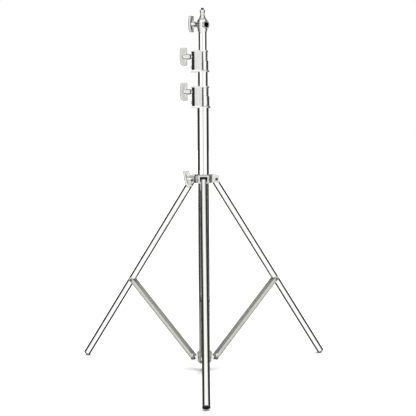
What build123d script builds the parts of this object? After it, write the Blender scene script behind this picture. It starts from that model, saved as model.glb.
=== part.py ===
from build123d import *

import math
import os

os.makedirs("parts", exist_ok=True)

# A three-section light stand on a folding tripod base. Millimetres, +Z up.
# The origin is on the floor under the column; leg 1 points along -Y.

# ---- driving dimensions: column and risers ----
tube_wall = 1.5
base_r = 17.5
base_bottom_z = 21.5
base_top_z = 854.0
riser_1_r = 15.0
riser_1_bottom_z = 70.0
riser_1_top_z = 962.0
riser_2_r = 12.5
riser_2_bottom_z = 98.0
riser_2_top_z = 1061.0
running_gap = 0.05

# ---- driving dimensions: legs, braces and their pivots ----
leg_azimuths = (-90.0, 30.0, 150.0)
leg_angle = 35.1
leg_r = 11.0
leg_wall = 1.2
leg_reach = 725.0
foot_r = 11.5
foot_thickness = 4.0
upper_pivot_r = 38.0
lower_pivot_r = 38.0
brace_on_leg = 404.0
brace_pivot_inset = 4.5
brace_length = 326.0

# ---- driving dimensions: collars, head and stud ----
collar_1_z = (820.0, 856.0, 886.0)
collar_1_knob_z = 870.0
collar_1_screw_z = 837.0
collar_2_z = (930.0, 964.0, 995.0)
collar_2_knob_z = 977.0
collar_2_screw_z = 945.0
head_bottom_z = 1052.0
head_top_z = 1087.0
receiver_z = 1073.0
receiver_r = 8.15
receiver_azimuth = -50.0
head_knob_azimuth = -140.0
collar_knob_azimuth = 180.0
spider_knob_azimuth = -150.0
spider_knob_z = 602.5
stud_r = 8.0
stud_thread_r = 4.76

# ---- worked out from the driving dimensions ----
sin_leg = math.sin(math.radians(leg_angle))
cos_leg = math.cos(math.radians(leg_angle))
upper_pivot_z = leg_reach * cos_leg + foot_r * sin_leg
brace_pivot_r = upper_pivot_r + brace_on_leg * sin_leg - brace_pivot_inset * cos_leg
brace_pivot_z = upper_pivot_z - brace_on_leg * cos_leg - brace_pivot_inset * sin_leg
brace_rise = math.sqrt(brace_length**2 - (brace_pivot_r - lower_pivot_r) ** 2)
lower_pivot_z = brace_pivot_z - brace_rise
brace_angle = math.degrees(math.atan2(brace_pivot_r - lower_pivot_r, brace_rise))
folded_brace_r = upper_pivot_r - brace_pivot_inset
folded_lean = math.degrees(math.asin((lower_pivot_r - folded_brace_r) / brace_length))
brace_fold = brace_angle + folded_lean
fold_ratio = leg_angle / brace_fold


def pivot_drift(turn):
    """How far the upper pivot wanders outwards when the leg turns at a fixed share of the brace's turn."""
    brace_now = math.radians(brace_angle - turn)
    span_r = brace_pivot_r - upper_pivot_r
    span_z = upper_pivot_z - brace_pivot_z
    leg_now = math.atan2(span_r, span_z) - math.radians(fold_ratio * turn)
    brace_end_r = lower_pivot_r + brace_length * math.sin(brace_now)
    return brace_end_r - math.hypot(span_r, span_z) * math.sin(leg_now) - upper_pivot_r


drift = max(pivot_drift(brace_fold * step / 40) for step in range(41))

# ---- small sizes that several pieces share ----
spider_bore_r = base_r + drift + 0.25
brace_wall = 1.25
brace_half_inside = leg_r + 0.25
brace_half_width = brace_half_inside + brace_wall
brace_web_offset = 8.2
brace_free_edge = 4.8
pin_r = 3.0
spider_pin_r = 3.5
slot_half = leg_r + 0.5
ear_outer = slot_half + 4.3
knob_screw_r = 3.95
knob_thread_r = knob_screw_r + running_gap
shoe_r = 4.4
head_shoe_r = 3.8
shoe_length = 5.0


# ---- helpers ----
def drum(radius, low, high):
    """A cylinder about Z between two heights."""
    return Pos(0, 0, low) * Cylinder(radius, high - low, align=(Align.CENTER, Align.CENTER, Align.MIN))


def pipe(outer, inner, low, high):
    """A hollow cylinder about Z."""
    return drum(outer, low, high) - drum(inner, low - 1, high + 1)


def rod_x(radius, start, end, z=0.0):
    """A cylinder that lies along X."""
    return Pos(start, 0, z) * Rot(0, 90, 0) * Cylinder(
        radius, end - start, align=(Align.CENTER, Align.CENTER, Align.MIN)
    )


def rod_y(radius, start, end, x=0.0, z=0.0):
    """A cylinder that lies along Y."""
    return Pos(x, start, z) * Rot(-90, 0, 0) * Cylinder(
        radius, end - start, align=(Align.CENTER, Align.CENTER, Align.MIN)
    )


def block(x0, x1, y0, y1, z0, z1):
    """A box between two corners."""
    return Pos((x0 + x1) / 2, (y0 + y1) / 2, (z0 + z1) / 2) * Box(x1 - x0, y1 - y0, z1 - z0)


def lathe(points):
    """A solid of revolution about Z from (radius, height) points that start and end on the axis."""
    outline = Polyline(*[(r, 0, z) for r, z in points], close=True)
    return revolve(make_face(outline), Axis.Z)


def turned(azimuth, shape):
    """A shape drawn along +X, turned about Z to its azimuth."""
    return Rot(0, 0, azimuth) * shape


def leg_frame(shape):
    """A shape drawn about a vertical leg with its pivot at the origin, leaned out to the open angle."""
    return Pos(upper_pivot_r, 0, upper_pivot_z) * Rot(0, -leg_angle, 0) * shape


def brace_frame(shape):
    """A shape drawn along +X from the lower pivot, with its web towards +Z, raised to the open angle."""
    return Pos(lower_pivot_r, 0, lower_pivot_z) * Rot(0, brace_angle - 90, 0) * shape


def rivet(radius, head_r, half_width, head):
    """A tubular rivet along Y with a low head at each end and a hollow in each head."""
    body = rod_y(radius, -half_width - head, half_width + head)
    heads = rod_y(head_r, half_width + 0.05, half_width + head)
    heads += rod_y(head_r, -half_width - head, -half_width - 0.05)
    hollow = rod_y(radius * 0.5, half_width - 3, half_width + head + 1)
    hollow += rod_y(radius * 0.5, -half_width - head - 1, -half_width + 3)
    return body + heads - hollow


def save(name, shapes):
    """One node: a STEP file with each solid kept apart."""
    solids = [solid for shape in shapes for solid in shape.solids()]
    item = solids[0] if len(solids) == 1 else Compound(children=solids)
    item.label = name
    export_step(item, f"parts/{name}.step")
    print(name, len(solids), round(sum(solid.volume for solid in solids)))


# ---- column ----
def base_tube():
    return pipe(base_r, base_r - tube_wall, base_bottom_z, base_top_z)


def bottom_plug():
    radius = base_r - tube_wall - running_gap
    return lathe([(0, 24), (radius - 1, 24), (radius, 25), (radius, 40), (0, 40)])


def base_buffer():
    return drum(base_r - tube_wall - 0.3, 40, riser_1_bottom_z - 8 - running_gap)


def lower_bracket():
    ring = pipe(21.5, base_r + running_gap, 25.5, 58)
    ring += pipe(23.5, base_r + running_gap, 50, 58)
    for index, azimuth in enumerate(leg_azimuths):
        tongue = block(19.5, lower_pivot_r, -7.5, 7.5, lower_pivot_z - 8, lower_pivot_z + 8)
        tongue += rod_y(8, -7.5, 7.5, lower_pivot_r, lower_pivot_z)
        tongue += block(19.5, 25.5, -7.5, 7.5, lower_pivot_z, 52)
        # tongues 2 and 3 have a slot, because their pins wander inwards as the tripod folds
        hole = rod_y(pin_r + running_gap, -9, 9, lower_pivot_r, lower_pivot_z)
        if index > 0:
            play = 1.5 * drift + 0.3
            half = pin_r + 0.3
            hole += rod_y(half, -9, 9, lower_pivot_r, lower_pivot_z)
            hole += rod_y(half, -9, 9, lower_pivot_r - play, lower_pivot_z)
            hole += block(
                lower_pivot_r - play, lower_pivot_r, -9, 9, lower_pivot_z - half, lower_pivot_z + half
            )
        ring += turned(azimuth, tongue - hole)
    for azimuth in leg_azimuths:
        ring -= turned(azimuth + 60, rod_x(2.5, 16, 24, 42))
    return ring - drum(base_r + running_gap, 0, 80)


def lower_bracket_screws():
    return [
        turned(azimuth + 60, rod_x(2.45, base_r + 0.1, 22, 42) - rod_x(1.3, 20, 23, 42))
        for azimuth in leg_azimuths
    ]


# ---- clamping collars ----
def shoulder(step):
    """The height at which a tube butts against its collar's shoulder."""
    return step - 2


def collar(heights, tube_r, inner_r, top_flange, bottom_flange, knob_z, screw_z):
    """A cast collar: a stepped sleeve, a clamp block that narrows to a nose towards +X, and two flanges."""
    low, step, high = heights
    front = tube_r + 2.5
    nose = [(0, front), (25, front), (34, 4.4), (34, -4.4), (25, -front), (0, -front)]
    body = drum(tube_r + 2.2, low, step) + drum(inner_r + 2.4, step - 1, high)
    body += Pos(0, 0, low + 1) * extrude(make_face(Polyline(*nose, close=True)), high - low - 2)
    plate = drum(top_flange, high - 4, high) + block(0, 36, -front + 1, front - 1, high - 4, high)
    skirt = drum(bottom_flange, low, low + 2.5) + Pos(0, 0, low + 2.5) * Cone(
        bottom_flange, bottom_flange - 3, 3.5, align=(Align.CENTER, Align.CENTER, Align.MIN)
    )
    skirt += block(0, 37, -front - 1, front + 1, low, low + 5)
    groove = block(-1.5, 1.8, -front - 5, -front + 1.6, low + 6, high - 4)
    groove += block(-1.5, 1.8, front - 1.6, front + 5, low + 6, high - 4)
    body = body + plate + skirt - groove
    body += rod_x(6.5, 30, 35.5, knob_z) + rod_x(4.6, 30, 35, screw_z)
    body -= drum(tube_r + running_gap, low - 1, shoulder(step))
    body -= drum(inner_r + 1.2, shoulder(step) - 1, high + 1)
    body -= rod_x(knob_thread_r, 5, 50, knob_z) + rod_x(shoe_r + 0.1, 5, 25, knob_z)
    body -= rod_x(2.5, 5, 50, screw_z) + rod_x(3.4, 33, 50, screw_z)
    return turned(collar_knob_azimuth, body)


def collar_liner(heights, inner_r, knob_z):
    step, high = heights[1:]
    liner = pipe(inner_r + 1.15, inner_r + running_gap, shoulder(step) + 0.1, high - 0.5)
    return turned(collar_knob_azimuth, liner - rod_x(shoe_r + 0.1, 5, 25, knob_z))


def collar_screw(tube_r, screw_z):
    """The screw that fixes a collar to its tube, with a hexagon socket in its head."""
    screw = rod_x(2.45, tube_r + 0.1, 33.1, screw_z) + rod_x(3.35, 33.1, 37, screw_z)
    socket = Pos(34.6, 0, screw_z) * Rot(0, 90, 0) * extrude(RegularPolygon(1.9, 6), 4)
    return turned(collar_knob_azimuth, screw - socket)


# ---- T-knobs ----
def knob_handle(start, height, depth):
    """A cast T-handle along +X from its inner face: a rounded hub and a paddle with a convex outer edge."""
    reach = start + 34
    hub = lathe(
        [(0, 0), (5.5, 0), (8.4, 3), (8.4, 17), (7.0, 24), (4.0, 27.5), (0, 27.5)]
    )
    hub = Pos(start, 0, 0) * Rot(0, 90, 0) * hub
    half = height / 2
    inner = reach - depth
    edge = [
        Line((inner, half), (reach - 2.5, half)),
        ThreePointArc((reach - 2.5, half), (reach, 0), (reach - 4.0, -half + 6)),
        ThreePointArc((reach - 4.0, -half + 6), (reach - 6.5, -half + 1.6), (reach - 11, -half)),
        Line((reach - 11, -half), (inner, -half)),
        Line((inner, -half), (inner, half)),
    ]
    paddle = extrude(Plane.XZ * make_face(edge), 4.0, both=True)
    screw_hole = rod_x(knob_screw_r, start - 1, start + 14)
    return hub + paddle - screw_hole


def knob_screw(tip, start):
    return rod_x(knob_screw_r, tip, start + 13.9)


def pressure_shoe(radius, surface_r):
    """The short nylon plug between a screw's tip and what it clamps."""
    return rod_x(radius, surface_r + 0.05, surface_r + shoe_length)


def placed_knob(azimuth, z, tilt, shape):
    """A knob piece drawn along +X about the X axis, tilted about its own axis, then put on the column."""
    return turned(azimuth, Pos(0, 0, z) * Rot(tilt, 0, 0) * shape)


# ---- risers ----
def riser_pieces(name, radius, outer_inside, bottom, top):
    """A riser tube, its foot plug, the guide bush that it turns in and the ring that keeps the bush."""
    inside = radius - tube_wall
    bearing_r = outer_inside - running_gap
    tube = pipe(radius, inside, bottom, top)
    plug = drum(bearing_r - 0.05, bottom - 8, bottom) + drum(inside - running_gap, bottom - 1, bottom + 12)
    bush = pipe(bearing_r, radius + running_gap, bottom + 0.1, bottom + 40)
    ring = pipe(bearing_r - 0.05, radius + 0.005, bottom + 40.1, bottom + 42)
    save(f"{name}_tube", [tube])
    save(f"{name}_foot_plug", [plug])
    save(f"{name}_guide_bush", [bush])
    save(f"{name}_retaining_ring", [ring])


# ---- head and stud ----
def head_casting():
    body = lathe(
        [
            (0, head_bottom_z - 30),
            (riser_2_r - tube_wall - running_gap, head_bottom_z - 30),
            (riser_2_r - tube_wall - running_gap, head_bottom_z + 1),
            (13.6, head_bottom_z),
            (14.2, head_bottom_z + 2),
            (14.6, head_bottom_z + 7),
            (16.0, head_bottom_z + 14),
            (16.2, head_bottom_z + 28),
            (15.4, head_top_z),
            (0, head_top_z),
        ]
    )
    body += turned(receiver_azimuth, rod_x(12.3, 0, 18.5, receiver_z))
    body += turned(head_knob_azimuth, rod_x(9.0, 0, 19.5, receiver_z))
    body -= turned(receiver_azimuth, rod_x(receiver_r, -9, 30, receiver_z))
    body -= turned(head_knob_azimuth, rod_x(knob_thread_r, 4, 30, receiver_z))
    socket_inner = riser_2_r - tube_wall - running_gap
    body -= pipe(riser_2_r + running_gap, socket_inner, head_bottom_z - 40, riser_2_top_z)
    body -= drum(4.05, head_top_z - 5.1, head_top_z + 5)
    body -= turned(-90, rod_x(1.55, 2, 20, head_top_z - 3))
    return body


def stud():
    """A turned spigot: a flared foot, a waist, a full-size land and a threaded tip."""
    body = lathe(
        [
            (0, head_top_z - 5),
            (4.0, head_top_z - 5),
            (4.0, head_top_z),
            (15.3, head_top_z),
            (15.3, head_top_z + 1.2),
            (11.8, head_top_z + 4),
            (9.6, head_top_z + 8),
            (8.0, head_top_z + 13),
            (6.6, head_top_z + 15.5),
            (6.6, head_top_z + 24),
            (stud_r, head_top_z + 25.5),
            (stud_r, head_top_z + 31.5),
            (stud_thread_r, head_top_z + 31.5),
            (stud_thread_r, head_top_z + 38),
            (0, head_top_z + 38),
        ]
    )
    return body - turned(-90, rod_x(1.55, 1, 6, head_top_z - 3))


def stud_pin():
    pin = rod_x(1.5, 1.1, 15.9, head_top_z - 3) - rod_x(0.7, 12, 17, head_top_z - 3)
    return turned(-90, pin)


# ---- tripod ----
def spider():
    """The sliding collar that carries the legs: a ring with a forked lug for each leg and a knob boss."""
    low = 589.0
    high = 614.5
    body = drum(26.2, low, high - 1)
    for azimuth in leg_azimuths:
        lug = block(22, 47.6, -ear_outer, ear_outer, low, high)
        lug = fillet(lug.edges().filter_by(Axis.Y).sort_by(Axis.X)[-2:].sort_by(Axis.Z)[-1], 7)
        lug -= block(26.3, 60, -slot_half, slot_half, low - 1, high - 5)
        lug -= block(26.3, 39.5, -slot_half, slot_half, high - 6, high + 1)
        lug -= rod_y(spider_pin_r + 0.02, -30, 30, upper_pivot_r, upper_pivot_z)
        body += turned(azimuth, lug)
    boss = rod_x(8.5, 22, 33, spider_knob_z) + block(22, 30, -8.5, 8.5, low, spider_knob_z)
    body += turned(spider_knob_azimuth, boss)
    body -= turned(spider_knob_azimuth, rod_x(knob_thread_r, 15, 40, spider_knob_z))
    body -= turned(spider_knob_azimuth, rod_x(shoe_r + 0.1, 15, 24.5, spider_knob_z))
    return body - drum(spider_bore_r, low - 5, high + 5)


def spider_pins():
    pin = Pos(upper_pivot_r, 0, upper_pivot_z) * rivet(spider_pin_r, 4.6, ear_outer, 1.3)
    return [turned(azimuth, pin) for azimuth in leg_azimuths]


def leg_tube():
    tube = pipe(leg_r, leg_r - leg_wall, -leg_reach + foot_thickness, -5)
    tube -= rod_y(pin_r + running_gap, -20, 20, -brace_pivot_inset, -brace_on_leg)
    return leg_frame(tube)


def leg_top_plug():
    """The nylon eye in the top of a leg, which turns on the spider's pin."""
    eye = rod_y(8, -leg_r, leg_r) + block(-8, 8, -leg_r, leg_r, -5, 0)
    eye &= drum(leg_r, -4.95, 20)
    plug = eye + drum(leg_r - leg_wall - running_gap, -35, -4.9)
    plug -= rod_y(spider_pin_r + running_gap, -20, 20)
    return leg_frame(plug)


def rubber_foot():
    end = -leg_reach
    cap = lathe(
        [
            (0, end),
            (foot_r, end),
            (foot_r, end + foot_thickness),
            (leg_r - leg_wall - running_gap, end + foot_thickness),
            (leg_r - leg_wall - running_gap, end + 26),
            (0, end + 26),
        ]
    )
    return leg_frame(cap)


def brace():
    """A folded channel whose web is cut back at both ends, so that the flanges straddle leg and tongue."""
    web = brace_web_offset
    edge = -brace_free_edge
    channel = block(-9, brace_length + 20, -brace_half_width, brace_half_width, edge, web)
    channel = fillet(channel.edges().filter_by(Axis.X).sort_by(Axis.Z)[-2:], 2.0)
    channel -= block(
        -20, brace_length + 30, -brace_half_inside, brace_half_inside, edge - 1, web - brace_wall
    )
    channel -= block(-20, 14, -brace_half_inside, brace_half_inside, edge - 1, web + 1)
    channel -= block(
        brace_length - 8.6, brace_length + 30, -brace_half_inside, brace_half_inside, edge - 1, web + 1
    )
    end_cut = Pos(brace_length + 14.5, 0, 0) * Rot(0, 10.4, 0) * block(0, 40, -20, 20, -40, 40)
    channel -= end_cut
    ear = rod_y(8.2, -20, 20) + block(0, brace_length + 40, -20, 20, -20, 20)
    channel &= ear
    channel -= rod_y(pin_r + running_gap, -20, 20)
    channel -= rod_y(pin_r + running_gap, -20, 20, brace_length)
    return brace_frame(channel)


def brace_pins():
    pin = rivet(pin_r, 4.2, brace_half_width, 1.4)
    return [brace_frame(pin), brace_frame(Pos(brace_length, 0, 0) * pin)]


def report_fold():
    """The numbers that the joints need."""
    print("upper pivot r, z", round(upper_pivot_r, 3), round(upper_pivot_z, 3))
    print("brace pivot r, z", round(brace_pivot_r, 3), round(brace_pivot_z, 3))
    print("lower pivot r, z", round(lower_pivot_r, 3), round(lower_pivot_z, 3))
    print("brace angle, fold, ratio", round(brace_angle, 3), round(brace_fold, 3), round(fold_ratio, 5))
    print("drift of the open pivots", round(drift, 2), "spider bore", round(spider_bore_r, 2))


def main():
    report_fold()
    save("base_tube", [base_tube()])
    save("bottom_plug", [bottom_plug()])
    save("base_buffer", [base_buffer()])
    save("lower_bracket", [lower_bracket()])
    save("lower_bracket_screws", lower_bracket_screws())

    collar_1 = collar(collar_1_z, base_r, riser_1_r, 19.8, 23.3, collar_1_knob_z, collar_1_screw_z)
    save("collar_1", [collar_1])
    save("collar_1_liner", [collar_liner(collar_1_z, riser_1_r, collar_1_knob_z)])
    save("collar_1_screw", [collar_screw(base_r, collar_1_screw_z)])
    collar_2 = collar(collar_2_z, riser_1_r, riser_2_r, 16.8, 20.4, collar_2_knob_z, collar_2_screw_z)
    save("collar_2", [collar_2])
    save("collar_2_liner", [collar_liner(collar_2_z, riser_2_r, collar_2_knob_z)])
    save("collar_2_screw", [collar_screw(riser_1_r, collar_2_screw_z)])

    riser_pieces("riser_1", riser_1_r, base_r - tube_wall, riser_1_bottom_z, riser_1_top_z)
    riser_pieces("riser_2", riser_2_r, riser_1_r - tube_wall, riser_2_bottom_z, riser_2_top_z)
    buffer_top = riser_2_bottom_z - 8 - running_gap
    save("riser_buffer", [drum(riser_1_r - tube_wall - 0.3, riser_1_bottom_z + 12, buffer_top)])

    save("head", [head_casting()])
    save("stud", [stud()])
    save("stud_pin", [stud_pin()])

    # name, azimuth, height, tilt, shoe radius, clamped surface, handle start, handle height, paddle depth
    knobs = [
        ("knob_1", collar_knob_azimuth, collar_1_knob_z, 0, shoe_r, riser_1_r, 36.0, 54.0, 22.0),
        ("knob_2", collar_knob_azimuth, collar_2_knob_z, 0, shoe_r, riser_2_r, 36.0, 54.0, 22.0),
        ("spider_knob", spider_knob_azimuth, spider_knob_z, 22, shoe_r, base_r, 34.0, 54.0, 22.0),
        ("head_knob", head_knob_azimuth, receiver_z, 0, head_shoe_r, receiver_r + 0.2, 21.0, 49.0, 19.0),
    ]
    for name, azimuth, z, tilt, radius, surface_r, start, height, depth in knobs:
        save(name, [placed_knob(azimuth, z, tilt, knob_handle(start, height, depth))])
        tip = surface_r + shoe_length + 0.05
        save(f"{name}_screw", [placed_knob(azimuth, z, tilt, knob_screw(tip, start))])
        save(f"{name}_shoe", [placed_knob(azimuth, z, tilt, pressure_shoe(radius, surface_r))])

    save("spider", [spider()])
    save("spider_pins", spider_pins())
    for number, azimuth in enumerate(leg_azimuths, start=1):
        save(f"leg_{number}_tube", [turned(azimuth, leg_tube())])
        save(f"leg_{number}_top_plug", [turned(azimuth, leg_top_plug())])
        save(f"leg_{number}_rubber_foot", [turned(azimuth, rubber_foot())])
        save(f"brace_{number}", [turned(azimuth, brace())])
        save(f"brace_{number}_pins", [turned(azimuth, pin) for pin in brace_pins()])


main()
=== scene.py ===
# %% [markdown]
# # A folding light stand
#
# The real object is a studio light stand: three telescoping steel tubes on a folding tripod, with cast
# clamping collars, T-knobs and a turned stud on top. Its sizes and joints are settled already, in a CAD
# frame. This lesson dresses that frame: it is loaded first, and every piece rides on one of its bodies.

import math

import bmesh
import bpy
import numpy as np
from mathutils import Matrix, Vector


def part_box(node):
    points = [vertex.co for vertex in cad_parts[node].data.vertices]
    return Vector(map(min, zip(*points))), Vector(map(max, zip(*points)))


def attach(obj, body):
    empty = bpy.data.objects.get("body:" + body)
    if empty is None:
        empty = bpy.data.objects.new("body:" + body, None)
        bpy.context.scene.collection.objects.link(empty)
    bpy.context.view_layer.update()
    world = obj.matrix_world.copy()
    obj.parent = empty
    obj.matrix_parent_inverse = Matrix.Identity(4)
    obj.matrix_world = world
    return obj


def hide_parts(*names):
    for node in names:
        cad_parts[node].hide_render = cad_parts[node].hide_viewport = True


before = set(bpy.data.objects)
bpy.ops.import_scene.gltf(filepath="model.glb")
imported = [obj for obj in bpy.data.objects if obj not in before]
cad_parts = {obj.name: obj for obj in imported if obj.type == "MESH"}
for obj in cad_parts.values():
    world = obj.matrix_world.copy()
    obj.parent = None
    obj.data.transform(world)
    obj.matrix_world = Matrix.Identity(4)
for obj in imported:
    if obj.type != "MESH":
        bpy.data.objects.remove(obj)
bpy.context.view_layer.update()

# %% [markdown]
# ## Surfaces as arrays
#
# Most parts of a light stand come off a lathe or out of a rolling mill, so each is a profile carried along
# a path. They could be modelled by hand from primitives. Worked out as arrays, they get exact radii, rounded
# rims and enough segments for clean reflections, which polished tube shows up more than any other finish.
# A shell is a grid of points: rows run along the path, columns run round it.

# %% A grid of points becomes a shell
MM = 0.001


def shell(points, around=True, along=False, second=None):
    """Quads between neighbouring points of a grid (rows, columns, 3) in millimetres, with a UV map in metres.

    The quad at row i, column j has the corners (i, j), (i, j+1), (i+1, j+1), (i+1, j). Indices wrap where the
    grid closes, so a seam has no doubled points. U is the widest row's length so far, V the longest column's.
    second marks the quads that take the piece's second finish, as true or false for each quad's first corner.
    """
    rows, columns = points.shape[:2]
    i, j = np.meshgrid(
        np.arange(rows if along else rows - 1), np.arange(columns if around else columns - 1), indexing="ij"
    )
    corner_i = np.stack([i, i, i + 1, i + 1], axis=2).reshape(-1, 4)
    corner_j = np.stack([j, j + 1, j + 1, j], axis=2).reshape(-1, 4)
    quads = (corner_i % rows) * columns + corner_j % columns
    across = np.linalg.norm(np.roll(points, -1, 1) - points, axis=2).max(axis=0)
    down = np.linalg.norm(np.roll(points, -1, 0) - points, axis=2).max(axis=1)
    u = np.concatenate([[0], np.cumsum(across)])[corner_j]
    v = np.concatenate([[0], np.cumsum(down)])[corner_i]
    tone = np.zeros(len(quads), np.int32) if second is None else second[corner_i[:, 0], corner_j[:, 0]]
    return points.reshape(-1, 3) * MM, quads, np.stack([u, v], axis=2) * MM, tone.astype(np.int32)


def placed(points, matrix):
    """The same grid turned and moved by a 4 x 4 matrix: each point p becomes R p + t."""
    matrix = np.array(matrix)
    return points @ matrix[:3, :3].T + matrix[:3, 3]


# %% Shells become a piece of the stand
def piece(name, shells, materials, body, stands_for=(), sharp=35):
    """One mesh from several shells: merged at poles, faces outwards, smooth except across sharp edges."""
    starts = np.cumsum([0] + [len(s[0]) for s in shells[:-1]])
    mesh = bpy.data.meshes.new(name)
    mesh.from_pydata(
        np.concatenate([s[0] for s in shells]), [], np.concatenate([s[1] + k for s, k in zip(shells, starts)])
    )
    uv = np.concatenate([s[2] for s in shells]).astype(np.float32)
    mesh.uv_layers.new(name="Metres").data.foreach_set("uv", uv.ravel())
    mesh.polygons.foreach_set("material_index", np.concatenate([s[3] for s in shells]))
    work = bmesh.new()
    work.from_mesh(mesh)
    bmesh.ops.remove_doubles(work, verts=work.verts, dist=2e-6)
    bmesh.ops.recalc_face_normals(work, faces=work.faces)
    work.to_mesh(mesh)
    open_edges = sum(len(e.link_faces) != 2 for e in work.edges)
    work.free()
    mesh.shade_smooth()
    mesh.set_sharp_from_angle(angle=math.radians(sharp))
    for material in materials if isinstance(materials, tuple) else (materials,):
        mesh.materials.append(material)
    obj = bpy.data.objects.new(name, mesh)
    bpy.context.scene.collection.objects.link(obj)
    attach(obj, body)
    if stands_for:
        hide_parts(*stands_for)
    print(name, "faces", len(mesh.polygons), "open edges", open_edges)
    return obj


def finish_edges(obj, width=0.0, angle=50):
    """A small bevel where faces meet sharply, then normals that follow the larger faces."""
    if width:
        bevel = obj.modifiers.new("soft edges", "BEVEL")
        bevel.width = width * MM
        bevel.segments = 2
        bevel.limit_method = "ANGLE"
        bevel.angle_limit = math.radians(angle)
    normals = obj.modifiers.new("normals", "WEIGHTED_NORMAL")
    normals.keep_sharp = True


# %% Profiles
def soften(corners, radius, closed=True, steps=4):
    """Rounds the corners of a line of points.

    Around each corner B the line leaves at A, a radius before it, and comes back at C, a radius after it.
    Between them a point is (1-t)^2 A + 2t(1-t) B + t^2 C. An open line keeps its two ends.
    """
    def towards(other):
        gap = other - corners
        length = np.linalg.norm(gap, axis=-1, keepdims=True)
        return corners + gap * np.minimum(radius / np.maximum(length, 1e-9), 0.45)

    start, end = towards(np.roll(corners, 1, axis=0)), towards(np.roll(corners, -1, axis=0))
    t = np.linspace(0, 1, steps + 1).reshape(-1, *[1] * corners.ndim)
    curve = (1 - t) ** 2 * start + 2 * t * (1 - t) * corners + t**2 * end
    curve = np.moveaxis(curve, 0, 1).reshape(-1, *corners.shape[1:])
    if closed:
        return curve
    return np.concatenate([corners[:1], curve[steps + 1 : -steps - 1], corners[-1:]])


def lathe(profile, columns=96):
    """Turns a profile of (radius, height) about Z: x = r cos a, y = r sin a, z = height."""
    angle = np.linspace(0, 2 * np.pi, columns, endpoint=False)
    r, z = profile[:, :1], profile[:, 1:]
    return np.stack([r * np.cos(angle), r * np.sin(angle), np.broadcast_to(z, (len(r), columns))], axis=2)


def pipe(outer, inner, low, high, rim=0.35):
    """A hollow tube about Z: its closed profile goes up the outside, over the rim and down the inside."""
    loop = np.array([(outer, low), (outer, high), (inner, high), (inner, low)], float)
    return shell(lathe(soften(loop, rim)), along=True)


def spun(points, radius):
    """A solid turned about Z from a profile that starts and ends on the axis, with softened corners."""
    return lathe(soften(np.array(points, float), radius, closed=False))


ALONG_X = Matrix.Rotation(math.radians(90), 4, "Y")


def about_z(degrees):
    return Matrix.Rotation(math.radians(degrees), 4, "Z")


def height_of(node):
    """Lowest and highest Z of a CAD node, in millimetres."""
    low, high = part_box(node)
    return low[2] / MM, high[2] / MM


# %% [markdown]
# ## Shared effects
#
# No metal part is one even colour. Polished tube has fine lines along its length and the haze of handling,
# a die casting has a slight orange-peel skin and worn edges. They could be painted as textures. Here each
# effect is a small group with named sockets, built once and set by each material with its own values.

# %% Node group tools
def node_group(name, inputs, outputs):
    """An empty shader group with number or colour sockets, and its two end nodes."""
    tree = bpy.data.node_groups.new(name, "ShaderNodeTree")
    for label, value in inputs.items():
        socket = tree.interface.new_socket(label, in_out="INPUT", socket_type="NodeSocketFloat")
        socket.default_value = value
    for label, kind in outputs.items():
        tree.interface.new_socket(label, in_out="OUTPUT", socket_type=kind)
    return tree, tree.nodes.new("NodeGroupInput"), tree.nodes.new("NodeGroupOutput")


def add(tree, kind, links=(), **values):
    """A node with its values set and its inputs linked: links is a list of (socket, output)."""
    node = tree.nodes.new(kind)
    for key, value in values.items():
        setattr(node, key, value)
    for socket, source in links:
        if hasattr(source, "links"):
            tree.links.new(source, node.inputs[socket])
        else:
            node.inputs[socket].default_value = source
    return node


def math_node(tree, operation, a, b=0.5, c=0.5):
    """One sum: a, b and c are numbers or outputs."""
    return add(tree, "ShaderNodeMath", [(0, a), (1, b), (2, c)], operation=operation).outputs[0]


NUMBER = "NodeSocketFloat"

# %% Effect 1: lines along the tube
lines, lines_in, lines_out = node_group(
    "lengthwise lines",
    {"Lines per metre": 2600.0, "Length of a line": 0.05, "Strength": 1.0},
    {"Height": NUMBER, "Mask": NUMBER},
)
map_uv = add(lines, "ShaderNodeUVMap", uv_map="Metres").outputs[0]
axes = add(lines, "ShaderNodeSeparateXYZ", [(0, map_uv)])
stretched = add(
    lines,
    "ShaderNodeCombineXYZ",
    [
        (0, math_node(lines, "MULTIPLY", axes.outputs[0], lines_in.outputs["Lines per metre"])),
        (1, math_node(lines, "DIVIDE", axes.outputs[1], lines_in.outputs["Length of a line"])),
    ],
)
streak = add(lines, "ShaderNodeTexNoise", [("Vector", stretched.outputs[0]), ("Scale", 1.0), ("Detail", 3.0)])
lines.links.new(streak.outputs["Fac"], lines_out.inputs["Mask"])
height = math_node(lines, "MULTIPLY", streak.outputs["Fac"], lines_in.outputs["Strength"])
lines.links.new(height, lines_out.inputs["Height"])

# %% Effect 2: haze of handling
haze, haze_in, haze_out = node_group(
    "handling haze",
    {"Patches per metre": 22.0, "Low": 0.06, "High": 0.2},
    {"Roughness": NUMBER, "Mask": NUMBER},
)
here = add(haze, "ShaderNodeTexCoord").outputs["Object"]
patches = add(
    haze,
    "ShaderNodeTexNoise",
    [("Vector", here), ("Scale", haze_in.outputs["Patches per metre"]), ("Detail", 5.0), ("Roughness", 0.6)],
)
spread = add(
    haze,
    "ShaderNodeMapRange",
    [
        ("Value", patches.outputs["Fac"]),
        ("From Min", 0.35),
        ("From Max", 0.7),
        ("To Min", haze_in.outputs["Low"]),
        ("To Max", haze_in.outputs["High"]),
    ],
)
haze.links.new(spread.outputs[0], haze_out.inputs["Roughness"])
haze.links.new(patches.outputs["Fac"], haze_out.inputs["Mask"])

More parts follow.
